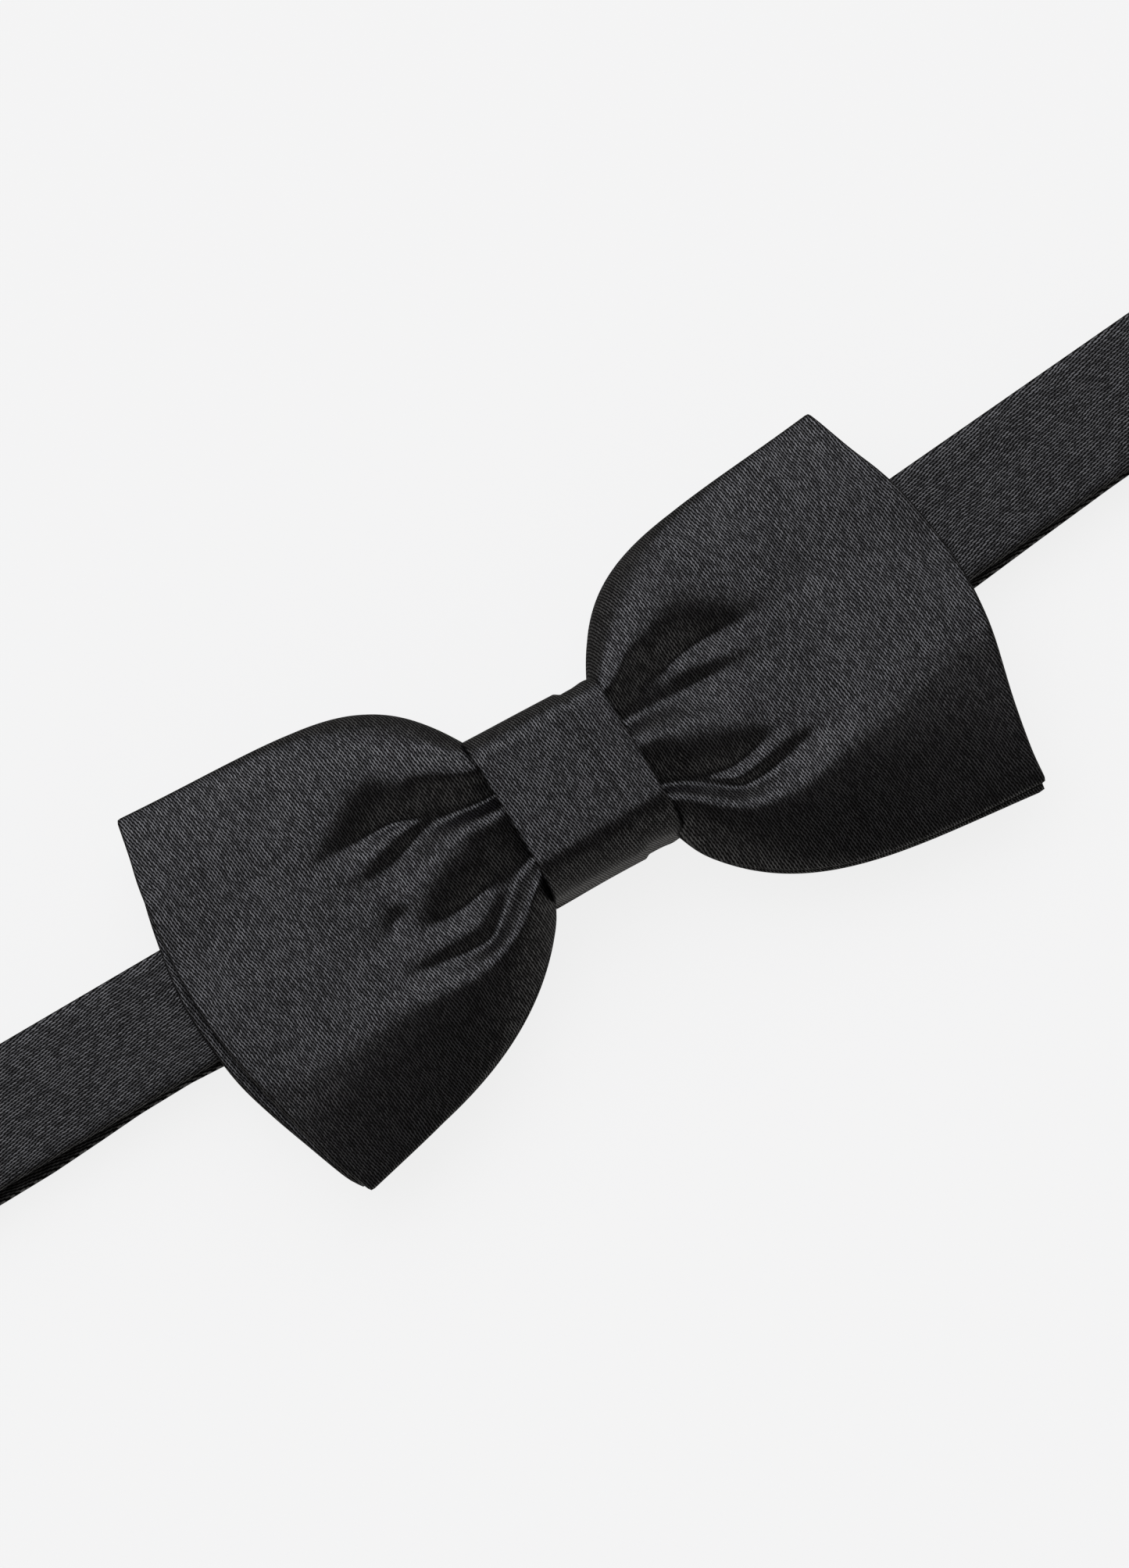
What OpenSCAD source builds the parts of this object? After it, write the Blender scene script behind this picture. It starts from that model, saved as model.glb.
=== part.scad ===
// Ready-tied satin bow tie on an adjustable neckband, lying face up on a flat surface.
// X runs along the bow, Y up its height and Z out of its front face; millimetres.

/* [Bow] */
// Width of the bow from edge to edge
bow_w = 120; // [110:1:130]
// Height of each wing at its outer corners
wing_h = 59; // [54:1:64]
// How far the outer edge of a wing bulges past its corners
edge_bulge = 6.5; // [3:0.5:9]
// Height of the front ply at the outer edge of a wing
edge_z = 9.75; // [9.7:0.05:10.5]
// How much higher the front ply stands where it enters the knot
puff = 5.2; // [3:0.1:5.5]
// Depth of the pleats at the knot
pleat_depth = 1.4; // [0.5:0.1:1.6]

/* [Knot] */
// Width of the knot along the bow
knot_w = 20; // [18:0.5:22]
// Height of the knot
knot_h = 25.8; // [25.4:0.1:27]
// Height of the middle of the knot above the middle of the wings
knot_y = 2.3; // [2:0.1:2.6]
// Height of the knot's front face above the resting surface
knot_top = 17.5; // [17:0.1:19]

/* [Neckband] */
// Width of the neckband
band_w = 17.2; // [15:0.2:17.2]
// Thickness of the folded neckband
band_t = 1; // [0.8:0.1:1]
// Half the length of the neckband as it lies folded flat
band_half = 100; // [95:1:110]
// Height of the neckband's middle above the middle of the wings
band_y = 4; // [3.6:0.1:4.2]
// Angle by which the right half of the neckband turns up
bend_deg = 4; // [1:0.5:4]
// Height of the front run's underside above the resting surface
front_run_z = 5.75; // [5.75:0.05:6]

/* [Clasp] */
// Diameter of the wire of the eye ring and of the hook's bar
wire_d = 1.2; // [1:0.1:1.3]
// Place of the eye ring's bar along the neckband
ring_x = -48; // [-52:0.5:-47.5]
// Length of the eye ring between the middles of its bars
ring_l = 8; // [6:0.5:8]
// Place of the hook's bar along the neckband
hook_x = -30; // [-30:0.5:-26]
// Place of the adjuster's middle bar along the neckband
adjuster_x = -14; // [-14:0.5:-10]

/* [Hidden] */

satin = [0.07, 0.07, 0.08];
lining_black = [0.1, 0.1, 0.1];
canvas_grey = [0.55, 0.55, 0.53];
thread_black = [0.03, 0.03, 0.03];
steel = [0.62, 0.62, 0.65];

// Plies: a face leaf, an interlining and a lining leaf, a hair apart
face_t = 0.45;
inner_t = 0.3;
lining_t = 0.4;
leaf_gap = 0.05;
ply_t = face_t + inner_t + lining_t + 2 * leaf_gap;
back_ply_z = 8.35;

// Wing outline
wing_start = knot_w / 2 + 0.2;
corner_x = bow_w / 2 - edge_bulge;
half_h = wing_h / 2;
flare = 1.4;
top_waist = 0.5;
top_run = 7;
bottom_waist = 0.62;
bottom_run = 15;
crown = 3.4;
pleats = 2.5;
grid_u = 18;
grid_s = 14;

// Knot section: walls and tunnel
wrap_t = 0.6;
knot_lining_t = 0.3;
knot_bottom = 4.3;
roll_r = 5.5;
back_r = 1.6;
lining_inset = wrap_t + leaf_gap;
tunnel_inset = lining_inset + knot_lining_t;

// Waist bundle above the neckband, inside the knot
thread_t = 0.4;
bundle_inset = tunnel_inset + 0.25;
bundle_bottom = front_run_z + band_t + 0.3;
bundle_r = roll_r - bundle_inset;
waist_split = 10.6;
waist_w = knot_w - 1.4;

// Neckband
cavity_t = 0.4;
cavity_margin = 0.4;
strap_lining_t = 0.3;
bend_x = 10;
bend_run = 10;
bend_r = bend_run / tan(bend_deg / 2);
bend_steps = 8;
fold_z = (front_run_z + band_t) / 2;
fold_out_r = fold_z;
fold_in_r = fold_z - band_t;

// Ends of the neckband round their bars
bar_z = 1.9;
loop_in_r = bar_z - band_t;
loop_stub = 4;
left_return = 8;
tack_w = 1.2;
tack_l = 12;
arm_y = band_w / 2 + 0.3 + wire_d / 2;
slack_end_x = 16.5;

// Hook
plate_t = 0.8;
plate_z = 1.2;
plate_reach = 4;
plate_w = 2.4;
tongue_w = 9;
tongue_l = 2.4;
tongue_gap = wire_d + 0.1;
tongue_lip = 0.6;

// Adjuster
adjuster_t = 0.9;
adjuster_z = 1.8;
adjuster_l = 10;
adjuster_bar = 1.6;
end_t = 0.5;
end_stub = 2;
end_gap = 0.1;

small = 0.01;

// ---- shared shapes ----

// Rounded rectangle in Y and Z, run along X: back corners at the bottom, roll corners at the top
module section(y0, y1, z0, z1, r_back, r_roll) {
  translate([y0, z0 + r_back]) square([y1 - y0, z1 - z0 - r_back - r_roll]);
  translate([y0 + r_back, z0]) square([y1 - y0 - 2 * r_back, r_back + small]);
  translate([y0 + r_roll, z1 - r_roll - small]) square([y1 - y0 - 2 * r_roll, r_roll + small]);
  for (y = [y0 + r_back, y1 - r_back]) translate([y, z0 + r_back]) circle(r = r_back, $fn = 48);
  for (y = [y0 + r_roll, y1 - r_roll]) translate([y, z1 - r_roll]) circle(r = r_roll, $fn = 96);
}

// A section of the knot, drawn in from its outside by inset
module knot_section(inset) {
  section(
    knot_y - knot_h / 2 + inset, knot_y + knot_h / 2 - inset,
    knot_bottom + inset, knot_top - inset, back_r - inset, roll_r - inset
  );
}

// A section of the bundle inside the knot, drawn in by inset
module bundle_section(inset) {
  section(
    knot_y - knot_h / 2 + bundle_inset + inset, knot_y + knot_h / 2 - bundle_inset - inset,
    bundle_bottom + inset, knot_top - bundle_inset - inset, back_r - inset, bundle_r - inset
  );
}

module along_x(l) {
  translate([-l / 2, 0, 0]) rotate([90, 0, 90]) linear_extrude(l) children();
}

// Right half of the neckband: x runs along it, with the bend at bend_x
module on_right() {
  translate([bend_x, band_y, 0]) rotate([0, 0, bend_deg]) translate([-bend_x, 0, 0]) children();
}

module on_left() {
  translate([0, band_y, 0]) children();
}

// A flat length of neckband from x0 to x1
module band_slab(x0, x1, z0, t, w) {
  translate([x0, -w / 2, z0]) cube([x1 - x0, w, t]);
}

// Outline of the whole front run, which turns up at the bend
function bend_point(k, y) =
  let (a = bend_deg * k / bend_steps)
  [bend_x - bend_run + (bend_r - y) * sin(a), band_y + bend_r - (bend_r - y) * cos(a)];
function right_point(x, y) =
  [bend_x + (x - bend_x) * cos(bend_deg) - y * sin(bend_deg),
   band_y + (x - bend_x) * sin(bend_deg) + y * cos(bend_deg)];
function run_side(x0, x1, y) = concat(
  [[x0, band_y + y]], [for (k = [0:bend_steps]) bend_point(k, y)], [right_point(x1, y)]
);
function reversed(list) = [for (i = [len(list) - 1:-1:0]) list[i]];
module front_run(over, z0, t, w) {
  translate([0, 0, z0]) linear_extrude(t)
    polygon(concat(
      run_side(-band_half - over, band_half + over, -w / 2),
      reversed(run_side(-band_half - over, band_half + over, w / 2))
    ));
}

// Half ring about the Y axis that opens towards +X, with its hollow for the interlining
module turned_end(r_in, r_out, w) {
  rotate([90, 0, 0]) rotate([0, 0, 90]) rotate_extrude(angle = 180, $fn = 64)
    translate([r_in, -w / 2]) square([r_out - r_in, w]);
}
module fold_end() {
  difference() {
    turned_end(fold_in_r, fold_out_r, band_w);
    turned_end(fold_in_r + 0.3, fold_out_r - 0.3, band_w - 2 * cavity_margin);
  }
}

// ---- wings ----

function wing_top(x) =
  (half_h - flare + flare * pow((x - wing_start) / (corner_x - wing_start), 2))
  * (1 - top_waist * exp(-(x - wing_start) / top_run));
function bottom_shape(x) = 1 - bottom_waist * exp(-(x - wing_start) / bottom_run);
function wing_bottom(x) = -half_h * bottom_shape(x) / bottom_shape(corner_x);
function wing_x(u, s) = wing_start + u * (corner_x + edge_bulge * (1 - s * s) - wing_start);
function wing_y(u, s) =
  let (x = wing_start + u * (corner_x - wing_start))
  wing_bottom(x) + (wing_top(x) - wing_bottom(x)) * (1 + s) / 2;
function front_z(u, s) =
  edge_z + (puff - crown * s * s) * pow(1 - u, 1.6)
  - pleat_depth * exp(-5 * u) * (0.5 + 0.5 * cos(180 * pleats * s)) * (1 - s * s);
function flat_z(u, s) = back_ply_z;

// One leaf: its upper side drop below the ply's face, margin grid steps in from the edges
module leaf(is_front, side, drop, t, margin) {
  nu = grid_u - 2 * margin;
  ns = grid_s - 2 * margin;
  upper = [
    for (i = [0:nu]) for (j = [0:ns])
      let (u = (i + margin) / grid_u, s = -1 + 2 * (j + margin) / grid_s)
      [side * wing_x(u, s), wing_y(u, s), (is_front ? front_z(u, s) : flat_z(u, s)) - drop]
  ];
  lower = [for (p = upper) [p[0], p[1], p[2] - t]];
  n = len(upper);
  row = ns + 1;
  faces_up = [
    for (i = [0:nu - 1]) for (j = [0:ns - 1])
      let (a = i * row + j)
      each [[a, a + 1, a + row + 1], [a, a + row + 1, a + row]]
  ];
  faces_down = [for (f = faces_up) [f[0] + n, f[2] + n, f[1] + n]];
  rim = concat(
    [for (j = [0:ns]) j], [for (i = [1:nu]) i * row + ns],
    [for (j = [ns - 1:-1:0]) nu * row + j], [for (i = [nu - 1:-1:1]) i * row]
  );
  faces_rim = [
    for (k = [0:len(rim) - 1])
      let (a = rim[k], b = rim[(k + 1) % len(rim)])
      each [[a, b + n, b], [a, a + n, b + n]]
  ];
  all_faces = concat(faces_up, faces_down, faces_rim);
  // the mirrored wing turns every face inside out, so its faces are listed backwards
  polyhedron(
    points = concat(upper, lower),
    faces = side > 0 ? all_faces : [for (f = all_faces) reversed(f)]
  );
}
module face_leaf(is_front, side) {
  color(satin) leaf(is_front, side, 0, face_t, 0);
}
module inner_leaf(is_front, side) {
  color(canvas_grey) leaf(is_front, side, face_t + leaf_gap, inner_t, 1);
}
module lining_leaf(is_front, side) {
  color(is_front ? lining_black : satin)
    leaf(is_front, side, face_t + inner_t + 2 * leaf_gap, lining_t, 0);
}
module left_front_face() { face_leaf(true, -1); }
module left_front_interlining() { inner_leaf(true, -1); }
module left_front_lining() { lining_leaf(true, -1); }
module left_back_face() { face_leaf(false, -1); }
module left_back_interlining() { inner_leaf(false, -1); }
module left_back_lining() { lining_leaf(false, -1); }
module right_front_face() { face_leaf(true, 1); }
module right_front_interlining() { inner_leaf(true, 1); }
module right_front_lining() { lining_leaf(true, 1); }
module right_back_face() { face_leaf(false, 1); }
module right_back_interlining() { inner_leaf(false, 1); }
module right_back_lining() { lining_leaf(false, 1); }

// ---- knot ----

module knot_wrap() {
  color(satin) difference() {
    along_x(knot_w) knot_section(0);
    along_x(knot_w + 2) knot_section(wrap_t);
  }
}
module knot_interlining() {
  color(canvas_grey) difference() {
    along_x(knot_w - 1) knot_section(lining_inset);
    along_x(knot_w + 2) knot_section(tunnel_inset);
  }
}
// Slip stitches along the seam at the back of the knot
module knot_closing_stitches() {
  stitch_t = 0.15;
  color(thread_black)
    for (x = [-8:4:8])
      translate([x - 1, knot_y - 4.3, knot_bottom - stitch_t]) cube([2, 0.6, stitch_t]);
}
module waist(z0, z1) {
  color(satin) intersection() {
    along_x(waist_w) bundle_section(thread_t + leaf_gap);
    translate([-knot_w, -knot_h, z0]) cube([2 * knot_w, 3 * knot_h, z1 - z0]);
  }
}
module front_waist() { waist(waist_split + leaf_gap, knot_top); }
module back_waist() { waist(0, waist_split - leaf_gap); }
// Two turns of thread round the bundle
module gathering_thread() {
  color(thread_black) for (x = [-1.2, 1.2]) translate([x, 0, 0]) difference() {
    along_x(thread_t) bundle_section(0);
    along_x(2) bundle_section(thread_t);
  }
}

// ---- neckband ----

module front_strap_cover() {
  color(satin) difference() {
    front_run(0, front_run_z, band_t, band_w);
    front_run(1, front_run_z + (band_t - cavity_t) / 2, cavity_t, band_w - 2 * cavity_margin);
  }
}
module front_strap_interlining() {
  color(canvas_grey)
    front_run(-1, front_run_z + (band_t - strap_lining_t) / 2, strap_lining_t,
      band_w - 2 * cavity_margin - 2 * leaf_gap);
}
module left_fold() {
  color(satin) on_left() translate([-band_half, 0, fold_z]) fold_end();
}
module right_fold() {
  color(satin) on_right() translate([band_half, 0, fold_z]) mirror([1, 0, 0]) fold_end();
}
module strap_cover(x0, x1) {
  color(satin) difference() {
    band_slab(x0, x1, 0, band_t, band_w);
    band_slab(x0 - 1, x1 + 1, (band_t - cavity_t) / 2, cavity_t, band_w - 2 * cavity_margin);
  }
}
module strap_interlining(x0, x1) {
  color(canvas_grey)
    band_slab(x0 + 1, x1 - 1, (band_t - strap_lining_t) / 2, strap_lining_t,
      band_w - 2 * cavity_margin - 2 * leaf_gap);
}
module left_strap_cover() { on_left() strap_cover(-band_half, ring_x - loop_stub); }
module left_strap_interlining() { on_left() strap_interlining(-band_half, ring_x - loop_stub); }
module right_strap_cover() { on_right() strap_cover(slack_end_x, band_half); }
module right_strap_interlining() { on_right() strap_interlining(slack_end_x, band_half); }

// The left end turns round the ring's bar and lies back on itself
module left_end_loop() {
  color(satin) on_left() {
    translate([ring_x, 0, bar_z]) mirror([1, 0, 0]) turned_end(loop_in_r, bar_z, band_w);
    band_slab(ring_x - loop_stub, ring_x, 0, band_t, band_w);
    band_slab(ring_x - left_return, ring_x, 2 * bar_z - band_t, band_t, band_w);
  }
}
module left_bar_tack() {
  color(thread_black) on_left()
    translate([ring_x - left_return + tack_w, -tack_l / 2, band_t])
      cube([tack_w, tack_l, 2 * (bar_z - band_t)]);
}
// Lower run between the hook's loop and the fixed part of the right strap
module right_strap_slack() {
  color(satin) on_right() band_slab(hook_x + loop_stub, slack_end_x, 0, band_t, band_w);
}
module hook_loop() {
  color(satin) on_right() {
    translate([hook_x, 0, bar_z]) turned_end(loop_in_r, bar_z, band_w);
    band_slab(hook_x, hook_x + loop_stub, 0, band_t, band_w);
    band_slab(hook_x, hook_x + loop_stub, 2 * bar_z - band_t, band_t, band_w);
  }
}
// Upper run from the hook's loop back to the adjuster
module adjuster_return() {
  color(satin) on_right()
    band_slab(hook_x + loop_stub, adjuster_x - end_stub, 2 * bar_z - band_t, band_t, band_w);
}
// The sewn end round the adjuster's middle bar
module adjuster_end_loop() {
  end_in_r = adjuster_t / 2 + end_gap;
  end_mid_z = adjuster_z + adjuster_t / 2;
  color(satin) on_right() {
    translate([adjuster_x + adjuster_bar / 2, 0, end_mid_z]) mirror([1, 0, 0])
      turned_end(end_in_r, end_in_r + end_t, band_w);
    for (z = [end_mid_z - end_in_r - end_t, end_mid_z + end_in_r])
      band_slab(adjuster_x - end_stub, adjuster_x + adjuster_bar / 2, z, end_t, band_w);
  }
}

// ---- clasp ----

module wire(p, q) {
  d = q - p;
  translate(p) rotate([0, acos(d[2] / norm(d)), atan2(d[1], d[0])])
    cylinder(h = norm(d), d = wire_d, $fn = 32);
}
// Rectangle of wire with its two long bars across the neckband
module eye_ring() {
  corners = [[0, -arm_y, 0], [0, arm_y, 0], [ring_l, arm_y, 0], [ring_l, -arm_y, 0]];
  color(steel) on_left() translate([ring_x, 0, bar_z]) for (i = [0:3]) {
    wire(corners[i], corners[(i + 1) % 4]);
    translate(corners[i]) sphere(d = wire_d, $fn = 32);
  }
}
// Bar, two arms and a plate whose tongue turns up and back over itself
module hook() {
  arm_w = wire_d;
  plate_x = -plate_reach - plate_w;
  color(steel) on_right() translate([hook_x, 0, 0]) {
    translate([0, -arm_y - arm_w / 2, bar_z]) rotate([-90, 0, 0])
      cylinder(h = 2 * arm_y + arm_w, d = wire_d, $fn = 32);
    for (side = [-1, 1]) translate([-plate_reach, side * arm_y - arm_w / 2, plate_z])
      cube([plate_reach, arm_w, plate_t]);
    translate([plate_x, -arm_y - arm_w / 2, plate_z])
      cube([plate_w, 2 * arm_y + arm_w, plate_t]);
    translate([plate_x - tongue_l, tongue_w / 2, plate_z]) rotate([90, 0, 0])
      linear_extrude(tongue_w) polygon([
        [0, 0], [tongue_l + 1, 0], [tongue_l + 1, plate_t], [plate_t, plate_t],
        [plate_t, plate_t + tongue_gap], [tongue_l + 1, plate_t + tongue_gap],
        [tongue_l + 1, plate_t + tongue_gap + tongue_lip], [0, plate_t + tongue_gap + tongue_lip]
      ]);
  }
}
// Frame with three bars across the neckband
module adjuster() {
  frame_w = 2 * arm_y + wire_d;
  slot_l = (adjuster_l - 3 * adjuster_bar) / 2;
  color(steel) on_right() translate([adjuster_x, 0, adjuster_z]) difference() {
    translate([-adjuster_l / 2, -frame_w / 2, 0]) cube([adjuster_l, frame_w, adjuster_t]);
    for (side = [-1, 1])
      translate([side * (adjuster_bar + slot_l) / 2 - slot_l / 2, -arm_y + wire_d / 2, -1])
        cube([slot_l, 2 * arm_y - wire_d, adjuster_t + 2]);
  }
}

front_strap_cover();
front_strap_interlining();
left_fold();
right_fold();
knot_wrap();
knot_interlining();
knot_closing_stitches();
front_waist();
back_waist();
gathering_thread();
left_front_face();
left_front_interlining();
left_front_lining();
left_back_face();
left_back_interlining();
left_back_lining();
right_front_face();
right_front_interlining();
right_front_lining();
right_back_face();
right_back_interlining();
right_back_lining();
left_strap_cover();
left_strap_interlining();
left_end_loop();
left_bar_tack();
eye_ring();
right_strap_cover();
right_strap_interlining();
right_strap_slack();
hook_loop();
hook();
adjuster_return();
adjuster_end_loop();
adjuster();
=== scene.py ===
"""Looks of a ready-tied satin bow tie, built round its CAD frame. Lengths in the tables are millimetres."""

import math

import bmesh
import bpy
import numpy as np
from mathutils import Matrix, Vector


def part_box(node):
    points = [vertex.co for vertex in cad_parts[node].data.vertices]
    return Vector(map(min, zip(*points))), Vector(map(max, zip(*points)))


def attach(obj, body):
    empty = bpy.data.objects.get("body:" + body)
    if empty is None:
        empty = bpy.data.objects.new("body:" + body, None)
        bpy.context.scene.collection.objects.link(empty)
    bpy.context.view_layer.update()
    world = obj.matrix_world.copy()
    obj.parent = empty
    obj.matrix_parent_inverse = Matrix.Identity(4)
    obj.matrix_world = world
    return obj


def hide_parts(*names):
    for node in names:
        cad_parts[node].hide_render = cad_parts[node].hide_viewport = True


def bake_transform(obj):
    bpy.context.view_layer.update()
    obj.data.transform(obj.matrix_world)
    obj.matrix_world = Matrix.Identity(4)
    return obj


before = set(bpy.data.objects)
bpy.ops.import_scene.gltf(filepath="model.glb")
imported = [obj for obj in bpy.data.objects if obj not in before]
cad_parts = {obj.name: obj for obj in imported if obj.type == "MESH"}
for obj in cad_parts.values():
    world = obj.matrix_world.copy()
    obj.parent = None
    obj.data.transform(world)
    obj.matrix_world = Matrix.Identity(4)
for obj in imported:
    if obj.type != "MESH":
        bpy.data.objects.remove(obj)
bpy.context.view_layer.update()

MM = 0.001


# ---- measures taken from the frame, in millimetres ----

def box_mm(node):
    """Lowest and highest corner of a node, in millimetres."""
    low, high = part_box(node)
    return np.array(low) / MM, np.array(high) / MM


back_high = box_mm("right_back_lining")[1]
knot_low, knot_high = box_mm("knot_wrap")
run_low, run_high = box_mm("front_strap_cover")
rear_low, rear_high = box_mm("left_strap_cover")

KNOT_HALF = knot_high[0]
BAND_T = run_high[2] - run_low[2]
BAND_W = rear_high[1] - rear_low[1]
BAND_Y = (rear_high[1] + rear_low[1]) / 2
FOLD_X = -rear_low[0]
FOLD_Z = run_high[2] / 2


# ---- small helpers ----

def smooth(x, low, high):
    """0 up to low, 1 from high on, and a soft step between them."""
    t = np.clip((x - low) / (high - low), 0, 1)
    return t * t * (3 - 2 * t)


def make_mesh(name, points, faces, uvs=None):
    """A mesh object from points in millimetres; uvs, one per point, go to the map called cloth."""
    mesh = bpy.data.meshes.new(name)
    mesh.from_pydata([tuple(p * MM) for p in np.asarray(points, float)], [], faces)
    mesh.validate()
    if uvs is not None:
        layer = mesh.uv_layers.new(name="cloth")
        index = np.zeros(len(mesh.loops), np.int32)
        mesh.loops.foreach_get("vertex_index", index)
        layer.data.foreach_set("uv", np.asarray(uvs, np.float32)[index].ravel())
    mesh.shade_smooth()
    obj = bpy.data.objects.new(name, mesh)
    bpy.context.scene.collection.objects.link(obj)
    fix = bmesh.new()
    fix.from_mesh(mesh)
    bmesh.ops.recalc_face_normals(fix, faces=fix.faces)
    fix.to_mesh(mesh)
    fix.free()
    return obj


def grid_faces(rows, cols, start=0, wrap=False):
    """Quads over rows of cols points; wrap joins the last column to the first."""
    faces = []
    for i in range(rows - 1):
        for j in range(cols if wrap else cols - 1):
            a = start + i * cols + j
            b = start + i * cols + (j + 1) % cols
            faces.append((a, b, b + cols, a + cols))
    return faces


def grid_normals(grid):
    """Unit normals of a grid of points, by central differences."""
    across = np.gradient(grid, axis=0)
    along = np.gradient(grid, axis=1)
    normal = np.cross(across, along)
    normal /= np.linalg.norm(normal, axis=2, keepdims=True)
    return np.where(normal[..., 2:3] < 0, -normal, normal)


def shell(name, grid, thickness, uv, rim_steps=6):
    """A closed ply: grid is its upper side, a lower side lies thickness under it, a round rim joins them."""
    rows, cols = grid.shape[:2]
    normal = grid_normals(grid)
    lower = grid - normal * thickness
    points = [grid.reshape(-1, 3), lower.reshape(-1, 3)]
    uvs = [uv.reshape(-1, 2)] * 2
    count = rows * cols
    faces = grid_faces(rows, cols)
    faces += [tuple(count + i for i in reversed(f)) for f in grid_faces(rows, cols)]
    ring = [(0, j) for j in range(cols)] + [(i, cols - 1) for i in range(1, rows)]
    ring += [(rows - 1, j) for j in range(cols - 2, -1, -1)] + [(i, 0) for i in range(rows - 2, 0, -1)]
    ring = np.array(ring)
    edge = grid[ring[:, 0], ring[:, 1]]
    edge_normal = normal[ring[:, 0], ring[:, 1]]
    edge_uv = uv[ring[:, 0], ring[:, 1]]
    tangent = np.roll(edge, -1, axis=0) - np.roll(edge, 1, axis=0)
    tangent /= np.linalg.norm(tangent, axis=1, keepdims=True)
    outward = np.cross(tangent, edge_normal)
    middle = edge - edge_normal * thickness / 2
    centre = grid.mean(axis=(0, 1))
    if np.sum((edge - centre) * outward) < 0:
        outward = -outward

    def join(above, below):
        """Quads between two rings of point numbers."""
        for a in range(len(ring)):
            b = (a + 1) % len(ring)
            faces.append((int(above[a]), int(below[a]), int(below[b]), int(above[b])))

    previous = ring[:, 0] * cols + ring[:, 1]
    start = 2 * count
    for k in range(1, rim_steps):
        angle = math.pi * k / rim_steps
        layer = (middle + edge_normal * math.cos(angle) * thickness / 2
                 + outward * math.sin(angle) * thickness / 2)
        points.append(layer)
        uvs.append(edge_uv + outward[:, :2] * (thickness / 2 * angle))
        current = start + np.arange(len(ring))
        join(previous, current)
        previous = current
        start += len(ring)
    join(previous, count + ring[:, 0] * cols + ring[:, 1])
    return make_mesh(name, np.concatenate(points), faces, np.concatenate(uvs))


def curve_through(points, count):
    """count points on a smooth curve through rows of numbers (Catmull-Rom)."""
    points = np.asarray(points, float)
    padded = np.vstack([2 * points[0] - points[1], points, 2 * points[-1] - points[-2]])
    at = np.linspace(0, len(points) - 1 - 1e-9, count)
    k = at.astype(int)
    t = (at - k)[:, None]
    a, b, c, d = padded[k], padded[k + 1], padded[k + 2], padded[k + 3]
    return 0.5 * (2 * b + (c - a) * t + (2 * a - 5 * b + 4 * c - d) * t ** 2
                  + (3 * b - a - 3 * c + d) * t ** 3)


# ---- cloth materials ----

def new_material(name):
    """A material, its node tree and its shader."""
    material = bpy.data.materials.new(name)
    material.use_nodes = True
    tree = material.node_tree
    tree.nodes.clear()
    output = tree.nodes.new("ShaderNodeOutputMaterial")
    shader = tree.nodes.new("ShaderNodeBsdfPrincipled")
    tree.links.new(shader.outputs["BSDF"], output.inputs["Surface"])
    return material, tree, shader


class Graph:
    """Short names for wiring math nodes."""

    def __init__(self, tree):
        self.tree = tree

    def put(self, socket, value):
        """Sets a socket to a number or links another socket to it."""
        if isinstance(value, (int, float)):
            socket.default_value = value
        else:
            self.tree.links.new(value, socket)

    def math(self, operation, a, b=0.0, c=0.0):
        node = self.tree.nodes.new("ShaderNodeMath")
        node.operation = operation
        for socket, value in zip(node.inputs, (a, b, c)):
            self.put(socket, value)
        return node.outputs[0]

    def ramp(self, value, low, high, to_low=0.0, to_high=1.0):
        """A soft step from to_low, at low, to to_high, at high."""
        node = self.tree.nodes.new("ShaderNodeMapRange")
        node.interpolation_type = "SMOOTHSTEP"
        for socket, number in zip(node.inputs, (value, low, high, to_low, to_high)):
            self.put(socket, number)
        return node.outputs[0]

    def noise(self, vector, scale, detail=2.0):
        node = self.tree.nodes.new("ShaderNodeTexNoise")
        node.inputs["Scale"].default_value = scale
        node.inputs["Detail"].default_value = detail
        self.tree.links.new(vector, node.inputs["Vector"])
        return node.outputs["Fac"]

    def square(self, value, size):
        """The square of value over size."""
        return self.math("POWER", self.math("ABSOLUTE", self.math("DIVIDE", value, size)), 2.0)

    def combine(self, x, y):
        node = self.tree.nodes.new("ShaderNodeCombineXYZ")
        for socket, value in zip(node.inputs, (x, y)):
            self.put(socket, value)
        return node.outputs[0]

    def mix_colour(self, factor, a, b):
        node = self.tree.nodes.new("ShaderNodeMix")
        node.data_type = "RGBA"
        self.put(node.inputs["Factor"], factor)
        for name, value in (("A", a), ("B", b)):
            socket = [s for s in node.inputs if s.name == name and s.type == "RGBA"][0]
            if isinstance(value, tuple):
                socket.default_value = value + (1.0,)
            else:
                self.tree.links.new(value, socket)
        return [s for s in node.outputs if s.type == "RGBA"][0]


# The two directions in which the floats of the satin repeat, in floats per millimetre across and along them
WEAVE_A = (2.6, 0.52)
WEAVE_B = (3.73, -0.88)
# Half the width and half the length of a float, in millimetres
FLOAT_SIZE = (0.115, 0.46)
# base colours of the satin: darker in the gaps as painted shade between the floats, lighter on the floats as
# a painted highlight on their crowns
GAP_PAINTED_SHADE_COLOUR = (0.0028, 0.0025, 0.0023)
FLOAT_PAINTED_HIGHLIGHT_COLOUR = (0.0103, 0.0100, 0.0122)
SATIN_ROUGHNESS = 0.37


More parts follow.
